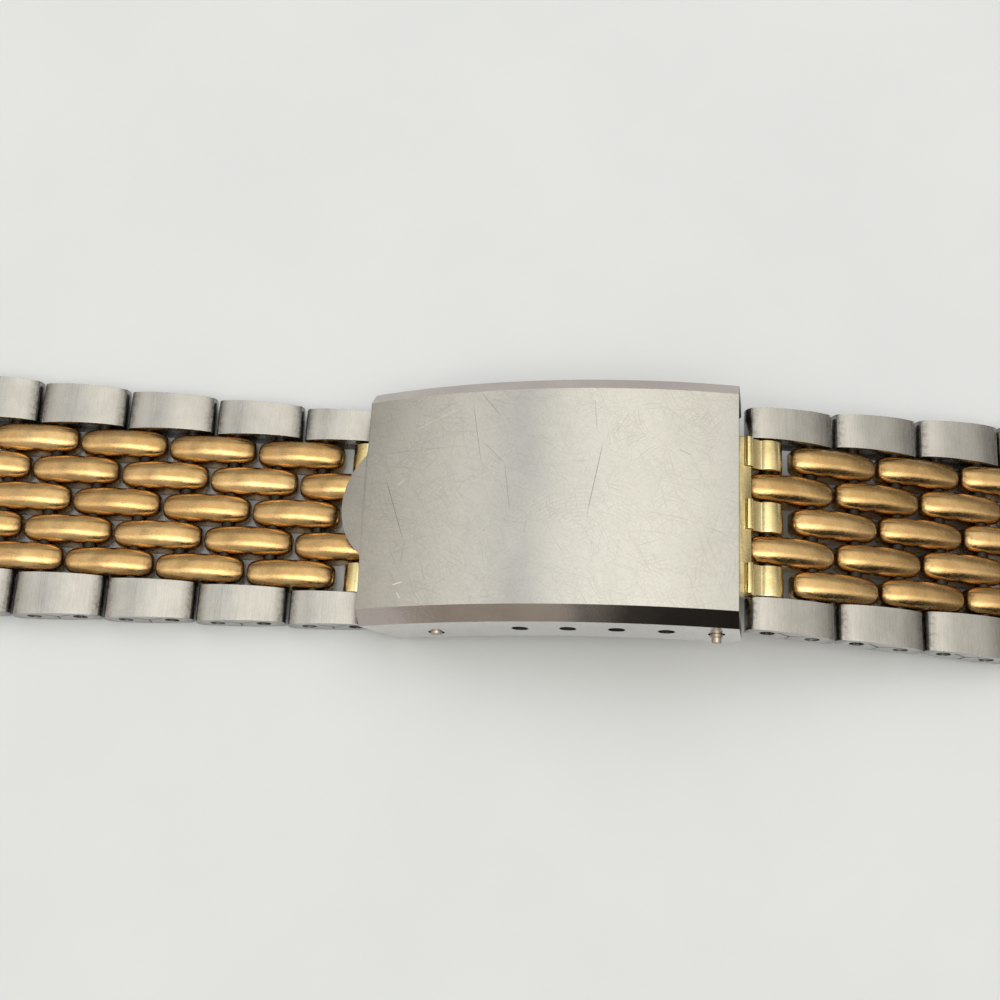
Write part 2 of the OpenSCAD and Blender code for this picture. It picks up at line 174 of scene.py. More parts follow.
def cut(piece, tool, how="DIFFERENCE"):
    """Applies a boolean with a tool object, then deletes the tool."""
    choose(piece)
    boolean = piece.modifiers.new("cut", "BOOLEAN")
    boolean.operation, boolean.object, boolean.solver = how, tool, "EXACT"
    bpy.ops.object.modifier_apply(modifier=boolean.name)
    choose(tool)
    bpy.ops.object.delete()


def round_edges(piece, width, segments=2, angle=30):
    """Rounds every edge that is sharper than an angle in degrees."""
    choose(piece)
    bevel = piece.modifiers.new("round", "BEVEL")
    bevel.width, bevel.segments, bevel.limit_method = width, segments, "ANGLE"
    bevel.angle_limit, bevel.harden_normals = math.radians(angle), False
    bpy.ops.object.modifier_apply(modifier=bevel.name)


def smooth(piece, angle):
    """Smooth shading, but for the edges that are sharper than an angle in degrees."""
    choose(piece)
    bpy.ops.object.shade_smooth_by_angle(angle=math.radians(angle))


def rod(radius, y0, y1, x=0, z=0, corners=48):
    """A round bar along Y."""
    deselect()
    bpy.ops.mesh.primitive_cylinder_add(vertices=corners, radius=radius, depth=y1 - y0,
                                        location=(x, (y0 + y1) / 2, z),
                                        rotation=(math.pi / 2, 0, 0))
    bpy.ops.object.transform_apply(location=True, rotation=True, scale=True)
    return bpy.context.object


def block(x0, x1, y0, y1, z0, z1):
    """A box between two corners."""
    deselect()
    bpy.ops.mesh.primitive_cube_add(
        size=1, location=((x0 + x1) / 2, (y0 + y1) / 2, (z0 + z1) / 2))
    bpy.context.object.scale = (x1 - x0, y1 - y0, z1 - z0)
    bpy.ops.object.transform_apply(location=True, rotation=True, scale=True)
    return bpy.context.object


print("cutting and rounding are ready")

# %% Finished pieces
def mark_places(piece, name):
    """Keeps where each point is on its own piece, so that wear stays with the piece."""
    places = piece.data.attributes.new(name, "FLOAT_VECTOR", "POINT")
    places.data.foreach_set("vector", [c for v in piece.data.vertices for c in v.co])


def copy_of(master, matrix, own):
    """A copy with its own mesh, put in place by a matrix, with a number of its own for its tint."""
    copy = master.copy()
    copy.data = master.data.copy()
    bpy.context.scene.collection.objects.link(copy)
    copy.data.transform(matrix)
    number = copy.data.attributes.new("own", "FLOAT", "POINT")
    number.data.foreach_set("value", [own] * len(copy.data.vertices))
    return copy


def join(name, parts):
    """One object out of several."""
    choose(*parts)
    bpy.ops.object.join()
    whole = bpy.context.object
    whole.name = whole.data.name = name
    return whole


BODY_OF = {node: body for body, nodes in frame["record"]["behaviour"]["bodies"].items()
           for node in nodes}


def stand_for(piece, node):
    """Shrinks a finished piece to metres and lets it stand for its CAD node."""
    piece.data.transform(Matrix.Scale(0.001, 4))
    piece.name = piece.data.name = node + "_look"
    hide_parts(node)
    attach(piece, BODY_OF[node])


# %% [markdown]
# A finish is more than one colour. Brushed steel has fine lines that spread its highlights across
# them, wear adds scratches in all directions, and gold plate darkens where fingers never rub, with
# painted shade at its foot. Each effect that several metals share is a node group: it takes a place
# on the piece in millimetres and puts out a mask, which each material then uses with its own
# strength.

# %% Node helpers
def wire(tree, source, target):
    """Links an output to an input. A plain value is set instead, and a colour gets its alpha."""
    if isinstance(source, bpy.types.NodeSocket):
        tree.links.new(source, target)
    elif target.type == "RGBA":
        target.default_value = (*source, 1)
    else:
        target.default_value = source


def maths(tree, operation, *values):
    """A Math node, or a chain of them where there are more than two values."""
    if len(values) > 2:
        values = (maths(tree, operation, *values[:-1]), values[-1])
    node = tree.nodes.new("ShaderNodeMath")
    node.operation = operation
    for value, socket in zip(values, node.inputs):
        wire(tree, value, socket)
    return node.outputs[0]


def vector_maths(tree, operation, *values):
    """A Vector Math node. The number that scales a vector has a socket of its own."""
    node = tree.nodes.new("ShaderNodeVectorMath")
    node.operation = operation
    sockets = (node.inputs[0], node.inputs["Scale"]) if operation == "SCALE" else node.inputs
    for value, socket in zip(values, sockets):
        wire(tree, value, socket)
    return node.outputs["Value" if operation == "DISTANCE" else "Vector"]


def xyz(tree, vector):
    node = tree.nodes.new("ShaderNodeSeparateXYZ")
    wire(tree, vector, node.inputs[0])
    return node.outputs


def ramp(tree, value, low, high, to_low=0.0, to_high=1.0):
    """Spreads the values between low and high over a new range, with a soft start and end."""
    node = tree.nodes.new("ShaderNodeMapRange")
    node.interpolation_type = "SMOOTHSTEP"
    for label, number in (("Value", value), ("From Min", low), ("From Max", high),
                          ("To Min", to_low), ("To Max", to_high)):
        wire(tree, number, node.inputs[label])
    return node.outputs["Result"]


def blend_colour(tree, factor, a, b):
    node = tree.nodes.new("ShaderNodeMix")
    node.data_type = "RGBA"
    for value, socket in ((factor, 0), (a, 6), (b, 7)):
        wire(tree, value, node.inputs[socket])
    return node.outputs[2]


print("value and colour nodes ready")

# %% Places and patterns
def kept(tree, name, output="Vector"):
    """What was kept under this name on the points of a piece while it was modelled."""
    node = tree.nodes.new("ShaderNodeAttribute")
    node.attribute_name = name
    return node.outputs[output]


def object_place(tree):
    """Object coordinates in millimetres."""
    node = tree.nodes.new("ShaderNodeTexCoord")
    return vector_maths(tree, "SCALE", node.outputs["Object"], 1000)


def stretch(tree, vector, scale=(1, 1, 1), turn=0.0, move=(0, 0, 0)):
    """Scales, turns about Z in degrees and moves the places that a pattern reads."""
    node = tree.nodes.new("ShaderNodeMapping")
    node.inputs["Scale"].default_value = scale
    node.inputs["Rotation"].default_value = (0, 0, math.radians(turn))
    node.inputs["Location"].default_value = move
    wire(tree, vector, node.inputs["Vector"])
    return node.outputs[0]


def noise(tree, vector, scale, detail=2.0, rough=0.5, output="Fac"):
    node = tree.nodes.new("ShaderNodeTexNoise")
    for label, value in (("Vector", vector), ("Scale", scale), ("Detail", detail),
                         ("Roughness", rough)):
        wire(tree, value, node.inputs[label])
    return node.outputs[output]


def new_group(name, *outputs):
    """A node group that takes a place and puts out masks. Gives the group and its two ends."""
    group = bpy.data.node_groups.new(name, "ShaderNodeTree")
    group.interface.new_socket(name="Place", in_out="INPUT", socket_type="NodeSocketVector")
    for label in outputs:
        group.interface.new_socket(name=label, in_out="OUTPUT", socket_type="NodeSocketFloat")
    start, end = group.nodes.new("NodeGroupInput"), group.nodes.new("NodeGroupOutput")
    return group, start.outputs["Place"], end.inputs


def use_group(tree, group, place):
    node = tree.nodes.new("ShaderNodeGroup")
    node.node_tree = group
    wire(tree, place, node.inputs["Place"])
    return node.outputs


print("place and pattern nodes ready")

# %% [markdown]
# Brushing leaves fine lines, which here are noise stretched along Y. A photograph of steel would
# carry its own light with it, and lines as geometry would be far too many. Hairline scratches are
# noise squeezed to about a fortieth of its length, of which only the highest values are kept.
# Layers turned to different angles cross each other, and a slow bend keeps them from looking ruled.

# %% Brushed lines
brushed, place, out = new_group("brushed lines", "Line", "Patch")
fine = noise(brushed, stretch(brushed, place, (26, 0.9, 26)), 1.0, 3.0, 0.65)
broad = noise(brushed, stretch(brushed, place, (5, 0.25, 5)), 1.0)
wire(brushed, maths(brushed, "ADD", maths(brushed, "MULTIPLY", fine, 0.65),
                    maths(brushed, "MULTIPLY", broad, 0.35)), out["Line"])
wire(brushed, noise(brushed, place, 0.45, 3.0, 0.6), out["Patch"])
print("brushed lines:", len(brushed.nodes), "nodes")

# %% Scratches
# Each layer: angle in degrees, scale along and across the hairlines, and the least value kept.
HAIR_LAYERS = ((14, 0.35, 13, 0.63), (68, 0.30, 14, 0.62), (-41, 0.42, 15, 0.64),
               (-76, 0.28, 12, 0.65), (37, 0.5, 16, 0.63), (-12, 0.33, 14, 0.65))
scratches, place, out = new_group("scratches", "Scratch")
soft = noise(scratches, place, 0.2, output="Color")
bent = vector_maths(scratches, "MULTIPLY_ADD", soft, (2.0, 2.0, 0), place)
layers = 0.0
for turn, along, across, keep in HAIR_LAYERS:
    turned = stretch(scratches, bent, (1, 1, 1), turn, (turn, keep * 40, 0))
    streak = noise(scratches, stretch(scratches, turned, (along, across, 0.5)), 1.0, 1.0)
    layers = maths(scratches, "MAXIMUM", ramp(scratches, streak, keep - 0.03, keep + 0.06), layers)
wire(scratches, layers, out["Scratch"])
print("scratches:", len(scratches.nodes), "nodes")

# %% [markdown]
# The outer links are brushed across the bracelet, so their lines run along Y. Shade is painted
# along their ends, where two links meet, with specks of dirt there, and painted near black low on
# their inner sides. The pins, blades and spring bars are plainer steel, and share one recipe with
# other values. One material for all of them would be simpler, but a pin and a link are never
# polished alike.

# %% Steels
def new_metal(name):
    """A material whose Principled shader is metal, and its node tree."""
    material = bpy.data.materials.new(name)
    material.use_nodes = True
    tree = material.node_tree
    shader = tree.nodes["Principled BSDF"]
    shader.inputs["Metallic"].default_value = 1.0
    return material, tree, shader


def add_bump(tree, shader, height, depth_mm):
    bump = tree.nodes.new("ShaderNodeBump")
    bump.inputs["Strength"].default_value = 1.0
    bump.inputs["Distance"].default_value = depth_mm * 0.001
    wire(tree, height, bump.inputs["Height"])
    wire(tree, bump.outputs["Normal"], shader.inputs["Normal"])


def link_dirt_and_shade(tree, colour, strength):
    """Paints shade at both ends and near black low on the inner side, with specks of dirt at the
    ends.
    """
    x, y, z = xyz(tree, kept(tree, "on_link"))
    to_end = ramp(tree, maths(tree, "ABSOLUTE", x), 2.3, 3.2)
    specks = ramp(tree, noise(tree, object_place(tree), 3.2, 4.0, 0.7), 0.46, 0.60)
    low = maths(tree, "MULTIPLY", ramp(tree, z, -0.2, 0.6, 1.0, 0.0),
                ramp(tree, y, 5.75, 5.95, 1.0, 0.0))
    # Painted shade: both ends go grey where two links meet. The specks below are dirt.
    colour = blend_colour(tree, maths(tree, "MULTIPLY", to_end, 0.6), colour, (0.20, 0.19, 0.18))
    dirt_and_shade = maths(tree, "MULTIPLY", to_end, specks, strength)
    colour = blend_colour(tree, dirt_and_shade, colour, (0.09, 0.075, 0.06))
    # Painted shade: near black low on the inner side, which faces the beads.
    return blend_colour(tree, low, colour, (0.03, 0.025, 0.02))


def brushed_steel(name, colour, dark, roughness, dirt_and_shade=0.0):
    material, tree, shader = new_metal(name)
    lines = use_group(tree, brushed, object_place(tree))
    tone = blend_colour(tree, ramp(tree, lines["Line"], 0.25, 0.6), dark, colour)
    patch = ramp(tree, lines["Patch"], 0.35, 0.65, 0.9, 1.0)
    toned = vector_maths(tree, "SCALE", tone, patch)
    wire(tree, link_dirt_and_shade(tree, toned, dirt_and_shade) if dirt_and_shade else toned, shader.inputs["Base Color"])
    wire(tree, ramp(tree, lines["Line"], 0.25, 0.75, roughness - 0.05, roughness + 0.07),
         shader.inputs["Roughness"])
    add_bump(tree, shader, lines["Line"], 0.002)
    return material


link_steel = brushed_steel("brushed link steel", (0.57, 0.56, 0.55), (0.48, 0.47, 0.46), 0.26, 0.55)
side_steel = brushed_steel("link side steel", (0.55, 0.54, 0.53), (0.38, 0.37, 0.36), 0.34, 0.5)
blade_steel = brushed_steel("satin blade steel", (0.50, 0.50, 0.49), (0.40, 0.40, 0.39), 0.30)
pin_steel = brushed_steel("pin wire", (0.46, 0.40, 0.34), (0.24, 0.19, 0.15), 0.30)
# Near black: dirt, and painted shade for the row pins deep in the gaps between the beads.
dirty_shaded_pin = brushed_steel("row pin wire, dirty and painted shade", (0.05, 0.042, 0.036), (0.02, 0.017, 0.015), 0.36)
print("steels ready")

# %% [markdown]
# The beads are gold plated and rubbed to a warm satin. The plate is darker and browner at the ends
# of each bead, where it is never rubbed, and has a thin dark line along it near its ends. Its foot
# is painted near black and less metallic, as shade low between the beads. Each bead has a number of
# its own, which shifts its tone a little, because beads of one plain gold look like a printed
# pattern. The end pieces are a paler gold, cloudy where the polish has gone.

# %% Bead gold
bead_gold, tree, shader = new_metal("bead gold")
place = object_place(tree)
x, y, z = xyz(tree, kept(tree, "on_bead"))
along = maths(tree, "ABSOLUTE", x)
clouds = noise(tree, place, 0.8, 4.0, 0.62)
grain = noise(tree, stretch(tree, place, (2.2, 9, 9)), 1.0, 3.0, 0.6)
stains = ramp(tree, noise(tree, place, 2.6, 4.0, 0.7), 0.38, 0.62)
ends = maths(tree, "MULTIPLY", ramp(tree, along, 2.45, 3.15), stains)
# Painted shade: the foot of each bead goes near black and less metallic, low between the beads.
foot = ramp(tree, z, -1.15, -0.6, 1.0, 0.0)
# A thin dark line along each bead, towards its ends only.
from_thin_line = maths(tree, "ABSOLUTE", maths(tree, "SUBTRACT", y, 0.46))
thin_dark_line = maths(tree, "MULTIPLY", ramp(tree, from_thin_line, 0.02, 0.075, 1.0, 0.0),
             ramp(tree, along, 1.3, 2.7))
specks = ramp(tree, noise(tree, place, 7.0, 3.0, 0.6), 0.66, 0.74)
# Darker where tarnished at the ends, on the thin line and with specks of dirt, and painted shade at
# the foot.
dirt_and_shade = maths(tree, "MAXIMUM", *(maths(tree, "MULTIPLY", mask, strength) for mask, strength in
                                ((ends, 0.7), (foot, 0.96), (thin_dark_line, 0.55), (specks, 0.5))))

shift = maths(tree, "ADD", clouds, kept(tree, "own", "Fac"))
tone = blend_colour(tree, ramp(tree, shift, 0.3, 0.8), (0.52, 0.33, 0.145), (0.70, 0.475, 0.235))
wire(tree, blend_colour(tree, dirt_and_shade, tone, (0.045, 0.024, 0.012)), shader.inputs["Base Color"])
wire(tree, maths(tree, "ADD", ramp(tree, grain, 0.3, 0.7, 0.17, 0.30),
                 maths(tree, "MULTIPLY", dirt_and_shade, 0.2)), shader.inputs["Roughness"])
wire(tree, ramp(tree, foot, 0.3, 1.0, 1.0, 0.25), shader.inputs["Metallic"])
add_bump(tree, shader, maths(tree, "ADD", maths(tree, "MULTIPLY", grain, 0.35), clouds), 0.018)
print("bead gold:", len(tree.nodes), "nodes")

# %% End piece gold
end_gold, tree, shader = new_metal("end piece gold")
place = object_place(tree)
clouds = noise(tree, place, 0.9, 4.0, 0.6)
wire(tree, blend_colour(tree, ramp(tree, clouds, 0.38, 0.66), (0.95, 0.80, 0.44),
                        (0.78, 0.64, 0.33)), shader.inputs["Base Color"])
wire(tree, ramp(tree, clouds, 0.35, 0.7, 0.16, 0.34), shader.inputs["Roughness"])
add_bump(tree, shader, noise(tree, stretch(tree, place, (2, 8, 8)), 1.0, 3.0, 0.6), 0.012)
print("end piece gold:", len(tree.nodes), "nodes")

# %% [markdown]
# The cover is the largest surface, and a long worn one: hairlines in every direction, faint rings
# left by polishing, a few deeper scratches and nicks. Those that the eye goes to first are drawn
# one by one at their places, the rest come from noise. Its long edges are cut at 45 degrees and
# polished, so they mirror the room and look almost black on one side. Four materials, for the top,
# the cut edges, the walls and the inside, share one recipe. The cut edges are painted darker and
# browner, as a painted reflection of the room, the walls are painted lighter, and the inside is
# painted near black, as shade.

# %% Rings and single scratches
def rings(tree, place, centre, spacing, inner, outer):
    """Faint arcs around a point, between two distances from it, on its far side."""
    flat = vector_maths(tree, "MULTIPLY", place, (1, 1, 0))
    distance = vector_maths(tree, "DISTANCE", flat, (*centre, 0))
    wave = maths(tree, "SINE", maths(tree, "MULTIPLY", distance, 2 * math.pi / spacing))
    far_side = ramp(tree, xyz(tree, place)["Y"], centre[1] + 0.3 * outer, centre[1] + 0.6 * outer)
    return maths(tree, "MULTIPLY", ramp(tree, wave, -0.2, 1.0),
                 ramp(tree, distance, inner, inner + 1),
                 ramp(tree, distance, outer - 2, outer, 1.0, 0.0), far_side)


def line_scratches(tree, place, lines):
    """Straight scratches, each from one place to another, with a width and a strength."""
    strongest = 0.0
    for (x0, y0), (x1, y1), width, strength in lines:
        length = math.hypot(x1 - x0, y1 - y0)
        turned = tree.nodes.new("ShaderNodeMapping")
        turned.vector_type = "TEXTURE"
        turned.inputs["Location"].default_value = ((x0 + x1) / 2, (y0 + y1) / 2, 0)
        turned.inputs["Rotation"].default_value = (0, 0, math.atan2(y1 - y0, x1 - x0))
        wire(tree, place, turned.inputs["Vector"])
        x, y, _ = xyz(tree, turned.outputs[0])
        across = ramp(tree, maths(tree, "ABSOLUTE", y), width * 0.3, width, 1.0, 0.0)
        along = ramp(tree, maths(tree, "ABSOLUTE", x), length * 0.3, length * 0.52, 1.0, 0.0)
        one = maths(tree, "MULTIPLY", across, along, strength)
        strongest = maths(tree, "MAXIMUM", one, strongest)
    return strongest


print("rings and single scratches ready")

# %% Cover steel
def worn_steel(name, colour, dark, roughness, wear, dark_lines=(), light_lines=(), ring_sets=()):
    material, tree, shader = new_metal(name)
    place = kept(tree, "on_cover")
    patch = ramp(tree, noise(tree, place, 0.35, 3.0, 0.6), 0.35, 0.65, 0.35, 1.0)
    hair = maths(tree, "MULTIPLY", use_group(tree, scratches, place)["Scratch"], wear, patch)
    for *shape, strength in ring_sets:
        broken = ramp(tree, noise(tree, place, 0.5), 0.40, 0.58)
        ring = maths(tree, "MULTIPLY", rings(tree, place, *shape), broken, strength)
        hair = maths(tree, "MAXIMUM", hair, ring)
    deep, nick = (line_scratches(tree, place, lines) for lines in (dark_lines, light_lines))
    clouds = noise(tree, place, 0.16, 4.0, 0.6)
    grit = noise(tree, place, 5.5, 3.0, 0.7)
    tone = blend_colour(tree, ramp(tree, clouds, 0.3, 0.7), dark, colour)
    for mask, mark in ((ramp(tree, grit, 0.35, 0.7, 0.0, 0.10), (0.25, 0.24, 0.23)),
                       (maths(tree, "MULTIPLY", hair, 0.27), (0.30, 0.28, 0.26)),
                       (deep, (0.16, 0.15, 0.15)), (nick, (0.95, 0.94, 0.93))):
        tone = blend_colour(tree, mask, tone, mark)
    wire(tree, tone, shader.inputs["Base Color"])
    wire(tree, ramp(tree, clouds, 0.3, 0.7, roughness - 0.02, roughness + 0.04),
         shader.inputs["Roughness"])
    height = maths(tree, "SUBTRACT", maths(tree, "MULTIPLY", grit, 0.4),
                   maths(tree, "MAXIMUM", hair, deep))
    add_bump(tree, shader, height, 0.0014)
    return material


DARK_LINES = [((4.07, 3.83), (3.06, -1.6), 0.045, 0.55), ((3.4, 6.8), (3.6, 4.4), 0.035, 0.4),
              ((-11.3, 1.6), (-9.7, -2.8), 0.045, 0.5), ((-4.6, 7.5), (-3.1, 5.7), 0.035, 0.5),
              ((-5.1, 6.8), (-4.3, 2.4), 0.035, 0.45), ((-4.2, 3.8), (-2.6, 2.2), 0.035, 0.4),
              ((-2.65, 2.3), (-2.1, -1.2), 0.035, 0.35), ((-11.9, 3.5), (-5.3, 3.6), 0.03, 0.25),
              ((9.0, 3.3), (9.9, 2.9), 0.04, 0.4), ((4.6, 3.9), (5.9, 6.0), 0.03, 0.25)]
LIGHT_LINES = [((-9.65, 4.9), (-5.7, 6.5), 0.035, 0.35), ((-10.3, -6.0), (-9.5, -5.8), 0.06, 0.9),
               ((-9.9, -6.5), (-9.6, -7.0), 0.05, 0.8), ((-10.4, 1.1), (-9.8, 1.5), 0.045, 0.7)]
RING_SETS = [((2.9, -5.4), 0.27, 2.2, 7.0, 0.55), ((8.5, -2.0), 0.3, 1.5, 5.0, 0.3)]
top_steel = worn_steel("worn cover steel", (0.64, 0.635, 0.625), (0.60, 0.595, 0.585), 0.24, 1.0,
                       DARK_LINES, LIGHT_LINES, RING_SETS)
# Painted reflection: the cut edges are darker and browner than the top, as the room they mirror.
painted_reflection_bevel_steel = worn_steel("polished bevel steel, painted reflection brown", (0.56, 0.49, 0.46), (0.48, 0.42, 0.40), 0.08, 0.5)
# Painted light: the walls are lighter than the top, though the cover is one sheet of steel.
painted_light_wall_steel = worn_steel("cover wall steel, painted lighter", (0.76, 0.74, 0.72), (0.68, 0.66, 0.64), 0.2, 0.6)
# Painted shade: the inside of the cover is near black, so its holes look dark.
painted_shade_inner_steel = worn_steel("steel inside the cover, painted shade", (0.10, 0.095, 0.09), (0.05, 0.045, 0.04),
                         0.45, 0.5)
print("cover steels ready")

# %% [markdown]
# A rice bead is a short loaf: round across the bracelet, gently crowned along it, with blunt
# rounded ends. It could be a stretched ball, but that is too pointed, or a rounded box, which has
# no crown. So a section with a round top is drawn once and extruded along the bead in steps, and
# each step is resized to the loaf's outline at that place.

# %% Outline of the links and beads
PITCH, LINK_T, GAP = 3.3, 2.4, 0.2
HALF_L = PITCH - GAP / 2
BEAD_W, COL_STEP, CROWN_R = 2.14, 2.26, 9.0
PIN_R, BORE_R = 0.5, 0.55


def crown(d):
    """Half height of a link under its crown alone, at a distance from its end."""
    return LINK_T / 2 - (CROWN_R - math.sqrt(CROWN_R**2 - (HALF_L - d) ** 2))


def round_end(d, reach):
    """0 at the end of a link, rising like a quarter circle to 1 at the reach."""
    return math.sqrt(1 - (1 - min(d / reach, 1)) ** 2)


def soft_least(a, b, power):
    """The smaller of two lengths, with a rounded change from one to the other."""
    return (a**-power + b**-power) ** (-1 / power)


def both_ways(steps):
    """Steps from one end to the middle, and the same steps back to the other end."""
    return steps + [HALF_L] + [2 * HALF_L - d for d in reversed(steps)]


def section(y, width, height):
    """Edit mode on a rectangle that stands across the bracelet at the end of a link."""
    deselect()
    bpy.ops.mesh.primitive_plane_add(size=1, rotation=(0, math.pi / 2, 0),
                                     location=(-HALF_L, y, 0))
    bpy.ops.object.transform_apply(location=True, rotation=True, scale=True)
    piece = bpy.context.object
    edit(piece, "VERT", all_of)
    bpy.ops.transform.resize(value=(1, width, height), center_override=(-HALF_L, y, 0))
    return piece


def loft(piece, steps, width, height, y):
    """Extrudes the selected section along X in steps, resized to the outline at each step."""
    for before, after in zip(steps, steps[1:]):
        bpy.ops.mesh.extrude_region_move(TRANSFORM_OT_translate={"value": (after - before, 0, 0)})
        a, b = (min(d, 2 * HALF_L - d) for d in (before, after))
        bpy.ops.transform.resize(value=(1, width(b) / width(a), height(b) / height(a)),
                                 center_override=(after - HALF_L, y, 0))
    deselect()
    clean(piece)


print("crown from", round(crown(0), 2), "to", round(crown(HALF_L), 2), "mm")

# %% One rice bead
# The section is drawn larger than the bead's blunt end, so that its corners have room, and shrinks
# to that end before it is extruded.
SECTION_W, SECTION_H = 0.563, 0.66
FOOT_CORNER, TOP_CORNER = 0.06, 0.25


def loaf_height(d):
    return soft_least(crown(d), 0.15 + 1.9 * round_end(d, 2.2), 4)


def loaf_width(d):
    x = (HALF_L - d) / HALF_L
    return max(0.12, BEAD_W / 2 * (1 - x**4) ** (1 / 4))


bead = section(0, SECTION_W, SECTION_H)
deselect()
for half, corner, segments in ((-1, FOOT_CORNER, 3), (1, TOP_CORNER, 10)):
    edit(bead, "VERT", lambda co: co.z * half > 0.3)
    bpy.ops.mesh.bevel(offset=corner, segments=segments, affect="VERTICES")
edit(bead, "VERT", all_of)
bpy.ops.transform.resize(
    value=(1, 2 * loaf_width(0) / SECTION_W, 2 * loaf_height(0) / SECTION_H),
    center_override=(-HALF_L, 0, 0))
loft(bead, both_ways([0.0, 0.02, 0.06, 0.13, 0.22, 0.34, 0.5, 0.7, 0.95, 1.3, 1.75, 2.4]),
     loaf_width, loaf_height, 0)
for x in (-PITCH / 2, PITCH / 2):
    cut(bead, rod(BORE_R, -2, 2, x, 0, 24))
smooth(bead, 50)
mark_places(bead, "on_bead")
bead.data.materials.append(bead_gold)
print("bead:", len(bead.data.polygons), "faces,", [round(v, 2) for v in bead.dimensions], "mm")

# %% [markdown]
# An outer link is a drum seen from the side: two round ends around the pins, crowned above and
# below. On the real one a strip is folded round both pins, which leaves an eye at each pin and a
# seam like a Y between them on its outer side. A box section is extruded along it in the same way
# as the bead, which leaves no ridge where the crown meets the end, and then it is rounded, bored
# and slit.

# %% One outer link
SIDE_IN = (5 * BEAD_W + 4 * 0.12) / 2 + 0.12
SIDE_OUT = 8.0
END_R = LINK_T / 2


def link_height(d):
    return soft_least(crown(d), 0.05 + END_R * round_end(d, END_R), 9)


middle = (SIDE_IN + SIDE_OUT) / 2
link = section(middle, SIDE_OUT - SIDE_IN, 2 * link_height(0))
loft(link, both_ways([0.0, 0.01, 0.04, 0.09, 0.16, 0.25, 0.36, 0.5, 0.66, 0.85, 1.1, 1.45, 1.9,
                      2.5]), lambda d: 1, link_height, middle)
round_edges(link, 0.11, 3, 40)
for x in (-PITCH / 2, PITCH / 2):
    cut(link, rod(PIN_R + 0.02, SIDE_IN - 1, SIDE_OUT + 1, x, 0, 40))
print("outer link:", [round(v, 2) for v in link.dimensions], "mm")

# %% The seam in its side
SLIT, SLIT_DEPTH = 0.11, 0.35
for x0, z0, x1, z1 in ((-1.0, 0.52, 0.02, -0.06), (1.0, 0.52, -0.02, -0.06), (0, 0, 0, -1.6)):
    slit = block(-SLIT / 2, math.hypot(x1 - x0, z1 - z0), SIDE_OUT - SLIT_DEPTH, SIDE_OUT + 0.5,
                 -SLIT / 2, SLIT / 2)
    edit(slit, "VERT", all_of)
    bpy.ops.transform.rotate(value=math.atan2(z1 - z0, x1 - x0), orient_axis="Y",
                             center_override=(0, 0, 0))
    bpy.ops.transform.translate(value=(x0, 0, z0))
    deselect()
    cut(link, slit)
clean(link)
smooth(link, 15)
mark_places(link, "on_link")
link.data.materials.append(link_steel)
link.data.materials.append(side_steel)
for face in link.data.polygons:
    face.material_index = int(face.normal.y > 0.9)
print("outer link:", len(link.data.polygons), "faces")

# %% [markdown]
# The two halves repeat the same two rows: two outer links with two beads between them, then three
# beads. Array modifiers would repeat them in one go, but each row hangs on its own hinge and must
# be its own object. So the bead and the link are copied, each copy with its own mesh, to the place
# between the two hinges that CAD gives for the row. The bracelet grows wider towards the watch, so
# each link's outer end is moved out and slanted.

# %% Where each row is
JOINT = {j["name"]: j for j in frame["joints"]}
ROWS = {"left": 7, "right": 6}
CLASP_HALF, GROWTH = 8.0, 1.5


def pin_at(joint):
    return Vector(JOINT[joint]["pos_m"]) * 1000


def middle_y(node):
    low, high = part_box(node)
    return (low.y + high.y) * 500


def row_matrix(first, second, y):
    """Puts a piece between two pins, in millimetres, level with the line through them."""
    run = second - first if second.x > first.x else first - second
    place = (first + second) / 2
    place.y = y
    return Matrix.Translation(place) @ Matrix.Rotation(math.atan2(-run.z, run.x), 4, "Y")


PINS = {side: [pin_at(f"{side}_{kind}_{k}_hinge") for k in range(1, count + 1)
               for kind in ("row", "beads")] + [pin_at(f"{side}_lug_hinge")]
        for side, count in ROWS.items()}
print("pins:", {side: len(pins) for side, pins in PINS.items()})

# %% Beads, outer links and row pins
FIXED_SHORT, LOOSE_SHORT = 0.7, 0.06
chance = random.Random(7)


def bead_row(node, columns, matrix):
    """The beads of one row. Real ones sit a hair unevenly, so each is turned a little."""
    parts = []
    for column in columns:
        sway = Matrix.Rotation(math.radians(chance.uniform(-2.5, 2.5)), 4, "X")
        place = matrix @ Matrix.Translation((0, column * COL_STEP, 0)) @ sway
        parts.append(copy_of(bead, place, chance.uniform(-0.12, 0.12)))
    stand_for(join(node, parts), node)


def outer_link(matrix, side, length, taper):
    """One outer link of a row: its outer end is moved out to its length and slanted."""
    piece = copy_of(link, Matrix.Identity(4), chance.uniform(-0.1, 0.1))
    edit(piece, "VERT", lambda co: co.y > middle)
    bpy.ops.transform.translate(value=(0, length - SIDE_OUT, 0))
    deselect()
    for v in piece.data.vertices:
        if v.co.y > (SIDE_IN + length) / 2:
            v.co.y += taper * v.co.x
    if side < 0:
        piece.data.transform(Matrix.Scale(-1, 4, (0, 1, 0)))
        piece.data.flip_normals()
    piece.data.transform(matrix)
    return piece


def row_pin(x, reach, matrix):
    """A pin across the bracelet, which stops short of the links' outer sides."""
    pin = rod(PIN_R, -reach, reach, x, 0, 32)
    round_edges(pin, 0.08, 2)
    smooth(pin, 35)
    pin.data.materials.append(dirty_shaded_pin)
    pin.data.transform(matrix)
    return pin


print("row pins stop", FIXED_SHORT, "and", LOOSE_SHORT, "mm short")

